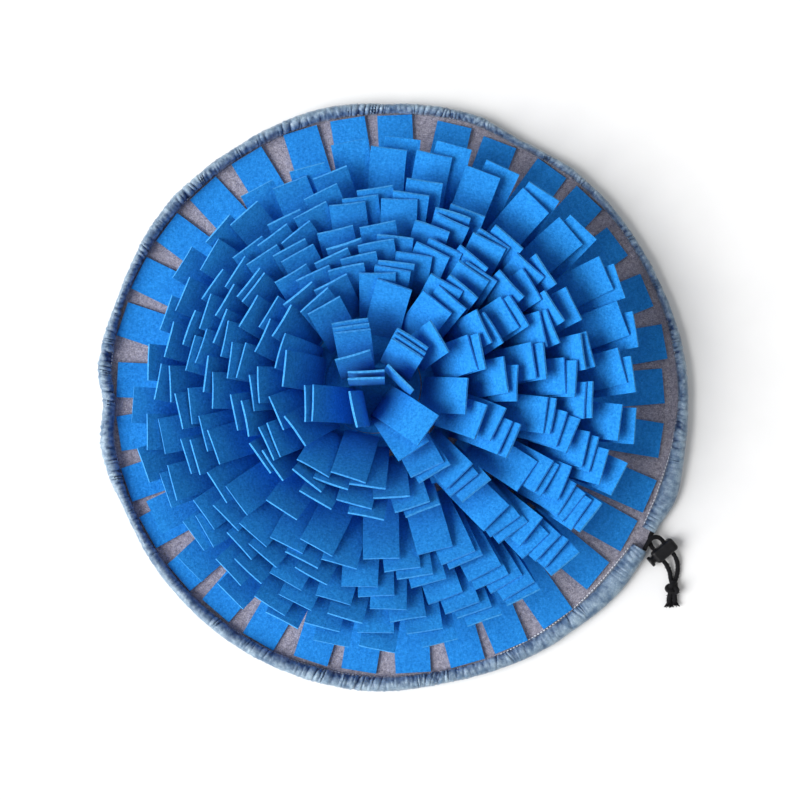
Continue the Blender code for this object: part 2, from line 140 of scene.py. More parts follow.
class Look:
    """A Principled material under construction, with short names for its nodes."""

    def __init__(self, name, colour, roughness):
        self.material = bpy.data.materials.new(name)
        self.material.use_nodes = True
        self.nodes = self.material.node_tree.nodes
        self.shader = self.nodes["Principled BSDF"]
        self.set("Base Color", (*colour, 1))
        self.set("Roughness", roughness)
        self.coordinates = self.node("ShaderNodeTexCoord").outputs["Object"]
        self.heights = None

    def set(self, name, value):
        """Sets one of the shader's own sockets, all over the surface."""
        self.shader.inputs[name].default_value = value

    def node(self, kind, **inputs):
        made = self.nodes.new(kind)
        for name, value in inputs.items():
            self.join(value, made.inputs[name])
        return made

    def join(self, value, socket):
        """Joins another node's output to this socket, or gives it a plain value."""
        if isinstance(value, bpy.types.NodeSocket):
            self.material.node_tree.links.new(value, socket)
        else:
            socket.default_value = value

    def noise(self, scale, detail, roughness=0.5):
        """Noise of this many waves a metre, with this many finer layers and their strength."""
        settings = {"Scale": scale, "Detail": detail, "Roughness": roughness}
        made = self.node("ShaderNodeTexNoise", Vector=self.coordinates, **settings)
        return made.outputs["Fac"]

    def ramp(self, fac, stops):
        """A colour that runs through these places and their colours."""
        made = self.node("ShaderNodeValToRGB", Fac=fac)
        ramp = made.color_ramp
        while len(ramp.elements) < len(stops):
            ramp.elements.new(0.5)
        for element, (place, colour) in zip(ramp.elements, stops):
            element.position = place
            element.color = (*colour, 1)
        return made.outputs["Color"]

    def mix(self, fac, a, b, kind="MIX"):
        made = self.nodes.new("ShaderNodeMix")
        made.data_type = "RGBA"
        made.blend_type = kind
        self.join(fac, made.inputs["Factor"])
        self.join(a, made.inputs["A"])
        self.join(b, made.inputs["B"])
        return made.outputs["Result"]

    def multiply(self, a, b):
        return self.mix(1.0, a, b, "MULTIPLY")

    def bump(self, height, depth):
        """Adds relief of this depth, in metres."""
        made = self.node("ShaderNodeBump", Height=height, Distance=depth, Strength=1.0)
        if self.heights:
            self.join(self.heights, made.inputs["Normal"])
        self.heights = made.outputs["Normal"]
        self.join(self.heights, self.shader.inputs["Normal"])

    def colour(self, socket):
        self.join(socket, self.shader.inputs["Base Color"])


def felt(name, dark, plain, light):
    """Pressed felt of one colour: fine fibres matted in tufts, faintly mottled, with a soft sheen."""
    look = Look(name, plain, 0.93)
    fibres = look.noise(1500, 4, 0.75)
    patches = look.noise(45, 3, 0.6)
    base = look.ramp(fibres, ((0.3, dark), (0.5, plain), (0.72, light)))
    shade = look.ramp(patches, ((0.3, (0.84, 0.86, 0.9)), (0.7, (1, 1, 1))))
    tufts = look.noise(450, 4, 0.8)
    matting = look.ramp(tufts, ((0.34, (0.5, 0.7, 0.78)), (0.66, (1.5, 1.27, 1.2))))
    look.colour(look.multiply(look.multiply(base, shade), matting))
    look.bump(look.noise(260, 3, 0.6), 0.35 * MM)
    look.bump(tufts, 0.2 * MM)
    look.bump(fibres, 0.25 * MM)
    look.set("Sheen Weight", 0.08)
    look.set("Sheen Tint", (0.3, 0.7, 1, 1))
    look.set("Specular IOR Level", 0.06)
    return look.material


def heather(name):
    """Grey felt of mixed pale and dark fibres."""
    look = Look(name, (0.27, 0.24, 0.27), 0.95)
    fibres = look.noise(1300, 4, 0.8)
    clumps = look.noise(330, 4, 0.7)
    shades = ((0.3, (0.1, 0.1, 0.13)), (0.5, (0.34, 0.33, 0.38)), (0.68, (0.74, 0.72, 0.8)))
    base = look.ramp(fibres, shades)
    shade = look.ramp(clumps, ((0.35, (0.6, 0.58, 0.62)), (0.62, (1.15, 1.12, 1.13))))
    look.colour(look.multiply(base, shade))
    look.bump(clumps, 0.5 * MM)
    look.bump(fibres, 0.3 * MM)
    look.set("Sheen Weight", 0.2)
    look.set("Specular IOR Level", 0.2)
    return look.material


def casing_cloth(name):
    """Thin woven lining cloth with a satiny sheen, with painted shade that darkens its folds and its
    inner hem.
    """
    look = Look(name, (0.2, 0.29, 0.36), 0.45)
    threads = look.noise(1700, 2, 0.6)
    patches = look.noise(105, 3, 0.65)
    shades = ((0.3, (0.21, 0.31, 0.42)), (0.5, (0.31, 0.43, 0.54)), (0.72, (0.51, 0.63, 0.72)))
    base = look.ramp(threads, shades)
    shade = look.ramp(patches, ((0.36, (0.4, 0.5, 0.62)), (0.62, (1.15, 1.13, 1.1))))
    # painted shade: the cloth is mixed towards a darker copy of itself by the mesh's painted shade record
    painted_crease_shade = look.node("ShaderNodeAttribute")
    painted_crease_shade.attribute_name = PAINTED_SHADE_ATTRIBUTE
    cloth = look.multiply(base, shade)
    shaded_cloth = look.multiply(cloth, CREASE_SHADE)
    look.colour(look.mix(painted_crease_shade.outputs["Fac"], cloth, shaded_cloth))
    look.bump(look.noise(420, 3, 0.6), 0.4 * MM)
    look.bump(threads, 0.12 * MM)
    look.set("Sheen Weight", 0.3)
    look.set("Sheen Roughness", 0.35)
    return look.material


def braid(name):
    """Dull black yarn of a cord, with fine fibres."""
    look = Look(name, (0.005, 0.005, 0.006), 0.85)
    fibres = look.noise(2600, 3, 0.7)
    look.colour(look.ramp(fibres, ((0.3, (0.002, 0.002, 0.003)), (0.7, (0.011, 0.011, 0.013)))))
    look.bump(fibres, 0.1 * MM)
    look.set("Sheen Weight", 0.05)
    look.set("Specular IOR Level", 0.15)
    return look.material


def black_plastic(name):
    """Black moulded plastic with a fine grain, unevenly worn to a shine."""
    look = Look(name, (0.006, 0.006, 0.008), 0.38)
    grain = look.noise(2200, 3, 0.6)
    wear = look.noise(240, 4, 0.6)
    look.colour(look.ramp(wear, ((0.35, (0.004, 0.004, 0.005)), (0.7, (0.009, 0.009, 0.011)))))
    roughness = look.ramp(wear, ((0.3, (0.32, 0.32, 0.32)), (0.7, (0.5, 0.5, 0.5))))
    look.join(roughness, look.shader.inputs["Roughness"])
    look.bump(grain, 0.05 * MM)
    look.set("Specular IOR Level", 0.3)
    return look.material


def thread(name):
    """Pale twisted sewing thread."""
    look = Look(name, (0.84, 0.87, 0.91), 0.7)
    plies = look.noise(3000, 2, 0.6)
    look.colour(look.ramp(plies, ((0.3, (0.72, 0.77, 0.83)), (0.7, (0.92, 0.93, 0.95)))))
    look.bump(plies, 0.1 * MM)
    look.set("Sheen Weight", 0.3)
    return look.material


BLUE = felt("blue_felt_fibres", (0.008, 0.19, 0.6), (0.02, 0.27, 0.75), (0.05, 0.36, 0.87))
# The cut edges' lighter felt is partly the paler fibres of a cut and partly a painted highlight.
BLUE_PALE_EDGE_AND_HIGHLIGHT = felt("blue_felt_cut_edge_and_highlight", (0.03, 0.27, 0.72), (0.06, 0.38, 0.86), (0.12, 0.5, 0.95))
GREY = heather("grey_felt_fibres")
CASING = casing_cloth("gathered_lining")
BRAID = braid("braided_cord")
PLASTIC = black_plastic("moulded_black")
THREAD = thread("stitching_thread")

# ---------------------------------------------------------------- drawcord and lock

LOCK_PLACE = Vector((217.6, -126.8, 0)) * MM
LOCK_TURN = math.radians(39.7)
LOCK = Matrix.Translation(LOCK_PLACE) @ Matrix.Rotation(LOCK_TURN, 4, "Z")
CORD_RADIUS = 1.8 * MM
CORD_STEP = 0.3 * MM  # between a cord's cross-sections

# The strands' middle lines, from the casing's ends through the lock to the knot. The lock's own
# axes are used for these, the knot and its tails.
NORTH_STRAND = (
    (4.6, 17.6, 5.5),
    (1.6, 16.4, 5.4),
    (-1.6, 13.6, 5.3),
    (-3.3, 9.6, 5.4),
    (-3.5, 5.5, 5.5),
    (-3.5, 0, 5.5),
    (-3.5, -5.5, 5.5),
    (-3.5, -9, 4.8),
    (-4.0, -13, 3.2),
    (-5.6, -17.5, 2.2),
    (-8.0, -21.4, 2.1),
)
SOUTH_STRAND = (
    (-9.9, 11.2, 7.6),
    (-7, 12.6, 8.6),
    (-3, 14.3, 9.4),
    (1.5, 14.4, 9.5),
    (4.8, 12.6, 8.4),
    (6.3, 9.2, 6.6),
    (6.5, 5.5, 5.5),
    (6.5, 0, 5.5),
    (6.5, -5.5, 5.5),
    (6.2, -9.5, 4.7),
    (4.9, -14, 3.0),
    (2.2, -18.2, 2.2),
    (-1.6, -21.8, 2.1),
    (-5.4, -24.4, 2.1),
)
KNOT = Vector((-11.9, -27.7, 4.7)) * MM
KNOT_TUBE = 2.1 * MM  # radius of the cord in the knot
KNOT_STEPS = 150
KNOT_SPREAD = 1.42  # millimetres to a unit of the knot's curve, across
KNOT_RISE = 2.1  # and upwards
TAIL_RADIUS = 2.1 * MM
TAILS = (
    ((-12.5, -30, 4.0), (-15.6, -35.2, 2.8), (-17.4, -37.6, 2.4)),
    ((-13.5, -28, 4.0), (-18.9, -32.4, 2.8), (-21.4, -35.2, 2.4)),
)
KNOT_ENTRIES = (
    ((-8.1, -21.5, 2.15), (-9.4, -23.8, 3.4), (-10.6, -26, 4.6)),
    ((-5.5, -24.45, 2.15), (-8, -25.8, 3.4), (-10.4, -27, 4.6)),
)

BRAID_RIDGES = 4  # each way round the cord
BRAID_PITCH = 3.4  # from one ridge to the next along the cord, in its radii
BRAID_MEAN = 0.93  # share of the cord's radius at which its surface lies
BRAID_RELIEF = 0.07

FIBRE_RADIUS = 0.2 * MM
FIBRE_STEPS = 4
FIBRE_ROOTS = (0.3, 0.95)  # shares of the cord's radius at which loose fibres start
FIBRE_RISE = 0.7  # how far they point upwards, against sideways
FIBRE_BEND = 0.6  # how far they bend outwards, as a share of their reach
FIBRE_LOWEST = 0.3 * MM
FRAY_FIBRES = 110  # at the end of a tail
FRAY_REACH = (1.6, 4.4)  # millimetres
TAIL_FUZZ = 90  # fibres that stand off a tail, a strand and the knot
STRAND_FUZZ = 160
KNOT_FUZZ = 260
FUZZ_REACH = (0.8, 1.8)  # millimetres
FUZZ_FROM = -8.5 * MM  # from here to the knot the strands are fuzzy


def braided_tube(points, radius, closed=False, around=20):
    """Points and faces of a braided cord along these points."""
    places, faces = [], []
    side = Vector((0, 0, 1))
    walked = 0.0
    count = len(points)
    for i, point in enumerate(points):
        before = points[i - 1] if i or closed else point
        after = points[(i + 1) % count] if i + 1 < count or closed else point
        along = (after - before).normalized()
        side = (side - along * side.dot(along)).normalized()
        other = along.cross(side)
        for k in range(around):
            turn = math.tau * k / around
            wave = math.tau * walked / (BRAID_PITCH * radius)
            ridge = max(math.sin(BRAID_RIDGES * turn + wave), math.sin(BRAID_RIDGES * turn - wave))
            width = radius * (BRAID_MEAN + BRAID_RELIEF * ridge)
            places.append(point + (side * math.cos(turn) + other * math.sin(turn)) * width)
        if i + 1 < count:
            walked += (points[i + 1] - point).length
    rounds = count if closed else count - 1
    for i in range(rounds):
        for k in range(around):
            a = around * i
            b = around * ((i + 1) % count)
            n = (k + 1) % around
            faces.append((a + k, a + n, b + n, b + k))
    if not closed:
        faces.append(tuple(reversed(range(around))))
        faces.append(tuple(range(around * (count - 1), around * count)))
    return places, faces


def add(places, faces, more_places, more_faces):
    """Adds one mesh's points and faces to another's."""
    faces += [tuple(len(places) + k for k in face) for face in more_faces]
    places += more_places


def fibre(middle, along, radius, reach, dice):
    """A loose fibre that leaves a cord of this radius and bends outwards."""
    side = along.cross(Vector((0, 0, 1))).normalized()
    turn = dice.uniform(0, math.tau)
    out = side * math.cos(turn) + side.cross(along) * math.sin(turn) * FIBRE_RISE
    start = middle + out * radius * dice.uniform(*FIBRE_ROOTS)
    line = []
    for step in range(FIBRE_STEPS + 1):
        share = step / FIBRE_STEPS
        point = start + along * reach * share + out * reach * FIBRE_BEND * share**2
        point.z = max(point.z, FIBRE_LOWEST)
        line.append(point)
    return braided_tube(line, FIBRE_RADIUS, around=5)


def fuzz(line, radius, count, dice):
    """Points and faces of the fine fibres that stand off a cord along this line."""
    places, faces = [], []
    for _ in range(count):
        place = dice.randrange(1, len(line) - 3)
        along = (line[place + 2] - line[place]).normalized()
        reach = dice.uniform(*FUZZ_REACH) * MM
        add(places, faces, *fibre(line[place], along, radius, reach, dice))
    return places, faces


strands = []
dice = random.Random(4)
for name, route in (("drawcord_north", NORTH_STRAND), ("drawcord_south", SOUTH_STRAND)):
    line = [LOCK @ p for p in curve_through(route, CORD_STEP)]
    places, faces = braided_tube(line, CORD_RADIUS)
    free = [p for p in line if (LOCK.inverted() @ p).y < FUZZ_FROM]
    add(places, faces, *fuzz(free, CORD_RADIUS, STRAND_FUZZ, dice))
    strand = mesh_piece(name + "_braid", places, faces)
    give(strand, "cord_black", BRAID)
    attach(strand, "mat")
    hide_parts(name)
    strands.append((strand, line))


def make_knot(dice):
    """An overhand knot, a trefoil curve, that the strands enter, with two frayed tails."""
    places, faces = [], []
    loop = []
    for i in range(KNOT_STEPS):
        t = math.tau * i / KNOT_STEPS
        x = KNOT_SPREAD * (math.sin(t) + 2 * math.sin(2 * t))
        y = KNOT_SPREAD * (math.cos(t) - 2 * math.cos(2 * t))
        z = KNOT_RISE * -math.sin(3 * t)
        loop.append(LOCK @ (KNOT + Vector((x, y, z)) * MM))
    add(places, faces, *braided_tube(loop, KNOT_TUBE, closed=True))
    add(places, faces, *fuzz(loop, KNOT_TUBE, KNOT_FUZZ, dice))
    for entry in KNOT_ENTRIES:
        line = [LOCK @ p for p in curve_through(entry, CORD_STEP)]
        add(places, faces, *braided_tube(line, CORD_RADIUS))
    for tail in TAILS:
        line = [LOCK @ p for p in curve_through(tail, CORD_STEP)]
        add(places, faces, *braided_tube(line, TAIL_RADIUS))
        along = (line[-1] - line[-4]).normalized()
        for _ in range(FRAY_FIBRES):
            reach = dice.uniform(*FRAY_REACH) * MM
            add(places, faces, *fibre(line[-2], along, TAIL_RADIUS, reach, dice))
        add(places, faces, *fuzz(line, TAIL_RADIUS, TAIL_FUZZ, dice))
    knot = mesh_piece("cord_knot_tied", places, faces)
    give(knot, "cord_black", BRAID)
    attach(knot, "mat")
    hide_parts("cord_knot")
    return knot


knot = make_knot(dice)
for node in ("cord_lock_body", "cord_lock_button"):
    for material_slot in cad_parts[node].material_slots:
        material_slot.material = PLASTIC

for strand, line in strands:
    tuple(line[0])
    sum((b - a).length for a, b in zip(line, line[1:]))
    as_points(line)

# ---------------------------------------------------------------- base and casing

BASE_THICKNESS = 3 * MM
BASE_ROUNDS = 40
BASE_SPOKES = 360
BASE_RELIEF = 0.25 * MM
BASE_LUMPS = 70  # a metre
BAND_BOTTOM = BASE_THICKNESS + GAP
CASING_START = -27.7  # degrees round the mat at which its two ends lie
CASING_END = 328.3
CASING_SECTIONS = 2400
CASING_LAP = 3.2 * MM  # how far in from its outer edge the base ends
CASING_NOTCH = CASING_LAP - GAP  # how far in its lower side reaches, just short of the base
CASING_HEM = CASING_NOTCH + 1.5 * MM  # least distance in of its inner hem
CASING_CLOTH = 0.6 * MM  # thickness

# The casing's outer edge, width, height and depth of its gathers, in millimetres, round the mat.
Rim = namedtuple("Rim", "angle outer width height gather")
RIM = (
    Rim(0, 239.5, 7.5, 12, 0.8),
    Rim(30, 235.5, 4.8, 12, 0.8),
    Rim(50, 236.5, 5, 13, 0.8),
    Rim(63, 234, 4.6, 13, 0.8),
    Rim(76, 240.5, 7, 14, 1.0),
    Rim(90, 240, 7, 14, 1.0),
    Rim(105, 243.5, 9.5, 15, 1.2),
    Rim(122, 242, 8, 15, 1.1),
    Rim(140, 243.5, 9, 15, 1.2),
    Rim(160, 240, 5.6, 13, 1.1),
    Rim(174, 243, 10, 14, 1.8),
    Rim(181, 237.5, 9, 14, 1.7),
    Rim(190, 242.5, 10.5, 15, 1.6),
    Rim(204, 238, 6.5, 13, 0.8),
    Rim(220, 239, 8, 13, 0.7),
    Rim(240, 240, 10, 13, 0.8),
    Rim(262, 240, 11, 12, 1.3),
    Rim(281, 236, 9.5, 11, 1.2),
    Rim(305, 239, 12.5, 9, 0.6),
    Rim(320, 242.5, 16, 9, 0.35),
    Rim(329, 241, 13, 11, 1.0),
    Rim(333, 239.5, 11, 10, 0.9),
    Rim(340, 244, 15, 10, 0.4),
    Rim(351, 240.5, 10.5, 12, 0.7),
)

# Waves of smooth noise round the rim: their length in millimetres, their strength, and the row
# and layer of noise that they are read from.
Wave = namedtuple("Wave", "length strength row layer")
RIM_RADIUS = 240  # of the circle that the waves' lengths are measured on
DRIFTS = (Wave(15, 1.7, 0, 3), Wave(6, 0.8, 4, 3))  # of the puckers along the rim
DEPTHS = Wave(32, 1.9, 2, 0)  # of the puckers
LUMPS = Wave(21, 1, 9, 0)
CRUMPLES = (Wave(3, 1, 0.8, 1), Wave(1.3, 0.5, 1.5, 1))  # with a row for each point of a section
LEANS = Wave(4, 2, 5, 0)  # of the puckers across the casing, with a length in degrees

GATHER_PITCH = 5  # millimetres of rim to a pucker
GATHER_DRIFT = 1.6  # puckers
GATHER_SHARPNESS = (0.35, 0.75)  # at the outer edge, and what is added towards the hem
GATHER_SIZES = (0.25, 0.75)  # the least, and what is added to it
GATHER_DEPTH = 0.55
GATHER_LEAST_DEPTH = 0.1
GATHER_LEVEL = 0.75  # share of a pucker that lies below the casing's even surface
LEAN = 0.22  # degrees from one point of a section to the next
LEAN_MEAN = 0.4
LEAN_MIDDLE = 4  # the point that doesn't lean
LUMP_SHARE = 0.8
CRUMPLE_SHARE = 0.6
LUMP_SETTLE = 0.4 * MM  # how far inwards the cloth sits where it is lumpy
# Painted shade on the casing: darker towards its inner hem and in the hollows of its puckers, lighter on
# their raised parts.
HEM_POINTS = 9  # of a section, over which the hem's sharp folds and its painted shade fade towards the outer edge
PAINTED_SHADE_EDGE = 0.2  # painted shade at the outer edge, from 0 to 1
PAINTED_SHADE_HEM = 0.55  # added at the hem
PAINTED_SHADE_FADE = 1.5
PAINTED_SHADE_FOLDS = 0.3  # added or taken off by the folds


def blend(table, angle):
    """A row of a table of places round the mat, read between its rows."""
    angle = angle % 360
    for i, row in enumerate(table):
        before = table[i - 1]
        start = before.angle if i else before.angle - 360
        if start <= angle < row.angle or (i == 0 and angle >= before.angle):
            where = angle if i or angle < row.angle else angle - 360
            share = (where - start) / (row.angle - start)
            share = share * share * (3 - 2 * share)
            return [a + (b - a) * share for a, b in zip(before, row)]
    raise ValueError(angle)


def rim_point(angle, inwards, height):
    """A point this far in from the casing's outer edge."""
    radius = blend(RIM, angle)[1] * MM - inwards
    turn = math.radians(angle)
    return Vector((radius * math.cos(turn), radius * math.sin(turn), height))


def make_base():
    """The grey felt base: a disc of slightly uneven felt, whose edge follows the casing."""
    rounds, spokes = BASE_ROUNDS, BASE_SPOKES
    places, faces = [], []
    for top in (True, False):
        first = len(places)
        places.append(Vector((0, 0, BASE_THICKNESS if top else 0)))
        for k in range(1, rounds + 1):
            share = k / rounds
            for i in range(spokes):
                edge = rim_point(360 * i / spokes, CASING_LAP, 0)
                point = edge * share
                lift = BASE_RELIEF * noise.noise(point * BASE_LUMPS) if top else 0
                point.z = BASE_THICKNESS + min(0, lift) if top else 0
                places.append(point)
        for i in range(spokes):
            n = (i + 1) % spokes
            face = (first, first + 1 + i, first + 1 + n)
            faces.append(face if top else face[::-1])
            for k in range(rounds - 1):
                a = first + 1 + k * spokes
                face = (a + i, a + spokes + i, a + spokes + n, a + n)
                faces.append(face if top else face[::-1])
    last = 1 + (rounds - 1) * spokes
    low = last + 1 + rounds * spokes
    for i in range(spokes):
        n = (i + 1) % spokes
        faces.append((last + i, low + i, low + n, last + n))
    base = mesh_piece("base_felt", places, faces)
    give(base, "grey_felt", GREY)
    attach(base, "mat")
    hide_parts("base_mat")
    return base


def wave_height(wave, arc, rows=1):
    """How high this wave stands at this distance along the rim."""
    return wave.strength * noise.noise(Vector((arc / wave.length, wave.row * rows, wave.layer)))


def gathers(angle, inner):
    """How far the casing's puckers and its slower lumps swell here, each from about -1 to 1."""
    arc = math.radians(angle) * RIM_RADIUS
    drift = sum(wave_height(wave, arc) for wave in DRIFTS)
    phase = arc / GATHER_PITCH + GATHER_DRIFT * drift
    pleat = abs(math.sin(math.pi * phase)) ** (GATHER_SHARPNESS[0] + GATHER_SHARPNESS[1] * inner)
    size = GATHER_SIZES[0] + GATHER_SIZES[1] * abs(wobble(math.floor(phase + 0.5), 5))
    depth = max(GATHER_LEAST_DEPTH, GATHER_DEPTH + wave_height(DEPTHS, arc))
    return (pleat - GATHER_LEVEL) * 2 * size * depth, wave_height(LUMPS, arc)


def casing_section(angle):
    """The cloth's line across the casing, from inner hem to lower edge, and the painted shade at each of
    its points.
    """
    _, _, width, height, gather = blend(RIM, angle)
    width, height, gather = width * MM, height * MM, gather * MM
    hem = max(width, CASING_HEM)
    # how far in each point lies, its height, and its shares of the puckers and of the lumps
    line = (
        (hem, BAND_BOTTOM, 0.0, 0.0),
        (hem - 0.3 * MM, BAND_BOTTOM + 1.0 * MM, 0.5, 0.2),
        (0.97 * hem, 0.45 * height, 1.3, 0.5),
        (0.92 * width, 0.68 * height, 1.7, 0.8),
        (0.8 * width, 0.86 * height, 1.7, 1.0),
        (0.62 * width, 0.97 * height, 1.4, 1.0),
        (0.44 * width, height, 1.1, 1.0),
        (0.27 * width, 0.95 * height, 0.8, 1.0),
        (0.12 * width, 0.82 * height, 0.55, 1.0),
        (0.03 * width, 0.62 * height, 0.4, 1.0),
        (0, 0.4 * height, 0.3, 0.9),
        (0.03 * width, 0.2 * height, 0.3, 0.7),
        (0.14 * width, 0.05 * height, 0.1, 0.2),
        (CASING_NOTCH, 0.9 * MM, 0.0, 0.0),
    )
    row, painted_shades = [], []
    for k, (inwards, up, pucker, lump) in enumerate(line):
        before, after = line[max(k - 1, 0)], line[min(k + 1, len(line) - 1)]
        along = Vector((after[0] - before[0], after[1] - before[1])).normalized()
        lean = LEAN * (k - LEAN_MIDDLE) * (LEAN_MEAN + wave_height(LEANS, angle))
        inner = max(0, 1 - k / HEM_POINTS)
        fold, slow = gathers(angle + lean, inner)
        arc = math.radians(angle + 0.5 * lean) * RIM_RADIUS
        crumple = sum(wave_height(wave, arc, k) for wave in CRUMPLES)
        swell = gather * (pucker * fold + lump * (LUMP_SHARE * slow + CRUMPLE_SHARE * crumple))
        # painted shade: darker towards the hem and in the hollows of the puckers, lighter where they are
        # raised
        raised = (PAINTED_SHADE_FOLDS + inner) * (fold + crumple) * min(1, gather / MM)
        depth = PAINTED_SHADE_EDGE + PAINTED_SHADE_HEM * inner**PAINTED_SHADE_FADE - raised
        painted_shades.append(min(1, max(0, depth)))
        inwards += along.y * swell + LUMP_SETTLE * lump
        up -= along.x * swell
        row.append(rim_point(angle, max(inwards, 0), max(up, CASING_CLOTH)))
    return row, painted_shades


def make_casing():
    """The gathered cloth round the base's edge, open along its underside and at its two ends."""
    places, faces, painted_shades = [], [], []
    for i in range(CASING_SECTIONS + 1):
        row, row_shades = casing_section(CASING_START + (CASING_END - CASING_START) * i / CASING_SECTIONS)
        places += row
        painted_shades += row_shades
    wide = len(row)
    for i in range(CASING_SECTIONS):
        for k in range(wide - 1):
            a = i * wide + k
            faces.append((a, a + wide, a + wide + 1, a + 1))
    casing = mesh_piece("casing_gathered", places, faces, 60)
    # each point's painted shade, which the casing's material reads
    casing.data.attributes.new(PAINTED_SHADE_ATTRIBUTE, "FLOAT", "POINT").data.foreach_set("value", painted_shades)
    solid = casing.modifiers.new("Thickness", "SOLIDIFY")
    solid.thickness = CASING_CLOTH
    solid.offset = -1
    give(casing, "casing_cloth", CASING)
    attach(casing, "mat")
    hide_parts("rim_casing")
    return casing


base = make_base()
casing = make_casing()

# ---------------------------------------------------------------- felt strips

BAND_THICKNESS = 2 * MM
BAND_MARGIN = 1.7 * MM  # felt left beyond the strips' roots
CENTRE_RADIUS = 38.3 * MM
CENTRE_SPREAD = 0.8 * MM  # the centre's soft edge reaches this far towards the band round it
CROWN = Vector((-24, 13, 0)) * MM  # the rings' middle drifts towards this point
STRIP_WIDTH = 28.6 * MM
STRIP_LENGTH = 75 * MM
STRIP_THICKNESS = 1.8 * MM
STRIP_STRETCHES = 3  # straight stretches along a curled strip's solid
STRIP_ROOT = BAND_BOTTOM + 1 * MM  # height at which a strip starts inside its band
STRIP_CLEAR = 0.4 * MM  # kept free on each side of a strip when the strips are laid
STRIP_CURL = math.radians(38)
UPRIGHT = math.radians(90)
RAISE_SHARE = 0.06  # of the way to upright, in each try to lay a strip clear of the others
MOST_RAISES = 50
CASING_CLEAR = 1.8 * MM  # between the casing and the tips of the outermost strips
TIP_SIDES = (-5, 0, 5)  # degrees from a strip's middle at which its tip keeps clear of the casing
FINE = 8  # small steps in a straight stretch of a strip's solid
ACROSS = 6  # faces across a strip
ROWS_IN_A_RING = 2
FIRST_SIDE = 30  # degrees round the mat at which a row's first reach is given

# The most by which strips differ from their row.
PLACE_SPREAD = 0.45  # of the room left free between two strips
STRIP_SKEW = math.radians(4)  # in the way they head
REACH_SPREAD = 6  # millimetres
CURL_SPREAD = 0.35  # of the curl
TWIST_SPREAD = math.radians(9)
LENGTH_SPREAD = 0.03  # of the length

# The outermost row lies nearly flat.
OUTER_REACH_SPREAD = 3  # millimetres
OUTER_LIFT = 0.8  # degrees
OUTER_LIFT_SPREAD = 0.5

# A strip's soft surface.
STRIP_CUP = 0.7 * MM  # most that its sides stand above or below its middle
CUP_LEVEL = 0.4
STRIP_RIPPLE = 0.45 * MM
RIPPLE_WAVES = 45  # a metre
SIDE_SHARE = 0.85  # of its thickness, at its sides
SEED_STEP = 0.37  # between the seeds of two strips, for each face between them

# One row for each row of strips, from the edge inwards: radius of the roots, number of strips,
# turn of the first one, and how far the strips reach outwards on six sides, at 30, 90, 150, 210,
# 270 and 330 degrees round the mat. Sizes are in millimetres and turns in degrees.
Row = namedtuple("Row", "radius count turn east north north_west west south south_east")
ROWS = (
    Row(158, 33, 1.5, 66, 74, 78, 72, 66, 62),
    Row(149, 30, 4.0, 55, 50, 41, 61, 48, 33),
    Row(140, 29, 5.0, 57, 54, 46, 56, 52, 37),
    Row(131, 26, 11.0, 24, 34, 28, 58, 60, 43),
    Row(122, 25, 11.5, 28, 36, 32, 52, 48, 48),
    Row(113, 22, 4.0, 29, 38, 33, 56, 48, 54),
    Row(104, 21, 5.0, 26, 28, 34, 54, 55, 50),
    Row(95, 19, 10.0, 28, 31, 36, 56, 58, 58),
    Row(86, 18, 10.0, 32, 35, 28, 30, 57, 60),
    Row(77, 15, 2.0, 26, 40, 30, 32, 22, 44),
    Row(68, 14, 3.0, 29, 45, 31, 31, 26, 50),
    Row(59, 11, 16.0, 27, 46, 32, 31, 31, 47),
    Row(50, 10, 16.0, 31, 38, 31, 34, 32, 49),
    Row(41, 8, 34.0, 28, 36, 29, 32, 34, 46),
)

# The strips of the middle: root, way it leans, how far, how much it curls, and its length.
Middle = namedtuple("Middle", "x y heading reach curl length")
MIDDLE = (
    Middle(-31, 32, 99, 26, 38, 74),
    Middle(-30.5, 28.5, 98, 27, 38, 74),
    Middle(-30, 25, 97, 28, 38, 73),
    Middle(-29.5, 19.2, 106, 12, 34, 72),
    Middle(5.5, 30, 57, 17, 40, 75),
    Middle(3.5, 26, 56, 17, 40, 75),
    Middle(1.5, 22, 57, 17, 40, 75),
    Middle(-22, 14.6, 92, 3, 14, 72),
    Middle(-22, 11, 92, 1, 14, 74),
    Middle(3.4, 11.2, 45, 2, 14, 73),
    Middle(-37.5, -7, 181, 33, 38, 76),
    Middle(-32.5, -8.2, 178, 32, 38, 76),
    Middle(-25, -10.8, 192, 8, 30, 75),
    Middle(-7, -10.8, -57, 42, 66, 80),
    Middle(-10, -3.5, -35, 46, 66, 90),
)

# A strip as it is laid: its root, the way it heads, how far it twists, its mean lift from the
# floor, how far it curls down, its length, and the number of its straight stretches.
Strip = namedtuple("Strip", "root heading twist lift curl length stretches")


def casing_inside(angle):
    """How far from the middle the casing's inner edge lies, in millimetres."""
    _, outer, width, _, _ = blend(RIM, angle)
    return outer - width


def lift_for(reach, curl, length):
    """Mean lift of a strip of this length and curl that reaches this far."""
    share = reach / length * (curl / 2) / math.sin(curl / 2)
    return math.acos(max(-1, min(1, share)))


def ring_middle(radius):
    """The middle of a row with this radius, in millimetres, which drifts towards the crown."""
    return CROWN * (1 - radius / ROWS[0].radius)


def reach_at(row, angle):
    """How far a row's strips reach outwards at this angle, read between its six sides."""
    reaches = row[3:]
    before, share = divmod((angle - FIRST_SIDE) / (360 / len(reaches)) % len(reaches), 1)
    before = int(before)
    return reaches[before] * (1 - share) + reaches[(before + 1) % len(reaches)] * share


